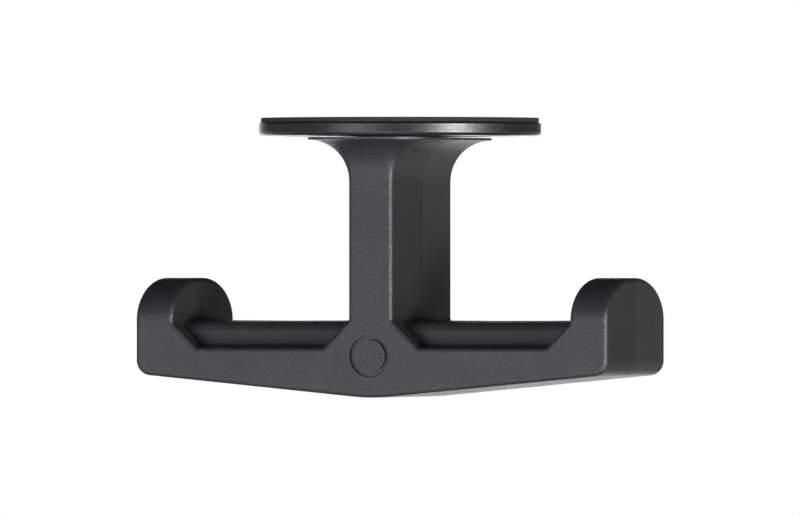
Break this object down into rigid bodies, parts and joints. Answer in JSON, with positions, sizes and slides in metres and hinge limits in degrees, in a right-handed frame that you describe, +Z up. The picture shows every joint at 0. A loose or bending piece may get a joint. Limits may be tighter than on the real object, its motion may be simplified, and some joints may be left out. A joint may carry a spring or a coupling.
{
  "type": "headphone hook",
  "caption": "Under-desk swivelling headphone hook: round base disc, flared stem and two upturned arms with crowned soft saddles.",
  "frame": {"origin": "centre of the flat top face that meets the underside of the desk, on the swivel axis", "axes": "+Z up out of the mounting face, +X along the two arms, front of the hook faces -Y"},
  "size_m": [0.1068, 0.06, 0.0593],
  "materials": {
    "foam_tape": "matt closed-cell foam tape",
    "disc_paint": "satin black powder coat",
    "steel": "zinc plated",
    "plate_steel": "stamped, plated",
    "zinc": "die cast, matt",
    "acetal": "natural white acetal",
    "brass": "knurled",
    "shell_plastic": "fine spark-eroded grain, satin",
    "pad_silicone": "soft matt silicone",
    "cap_rubber": "matt"
  },
  "bodies": {
    "base": {"adhesive_pad": "foam_tape", "base_disc": "disc_paint", "pivot_bolt": "steel", "spring_washer": "steel", "flat_washer": "steel", "lock_nut": "steel"},
    "hook": {"pivot_bush": "acetal", "swivel_yoke": "zinc", "yoke_pins": "steel", "core_plate": "plate_steel", "front_shell": "shell_plastic", "rear_shell": "shell_plastic", "saddle_pad_right": "pad_silicone", "saddle_pad_left": "pad_silicone", "shell_screws": "steel", "thread_inserts": "brass", "screw_caps": "cap_rubber"}
  },
  "joints": [
    {"name": "hook_swivel", "type": "hinge", "parent": "base", "child": "hook", "pos_m": [0, 0, -0.0042], "axis": [0, 0, 1], "continuous": true}
  ]
}
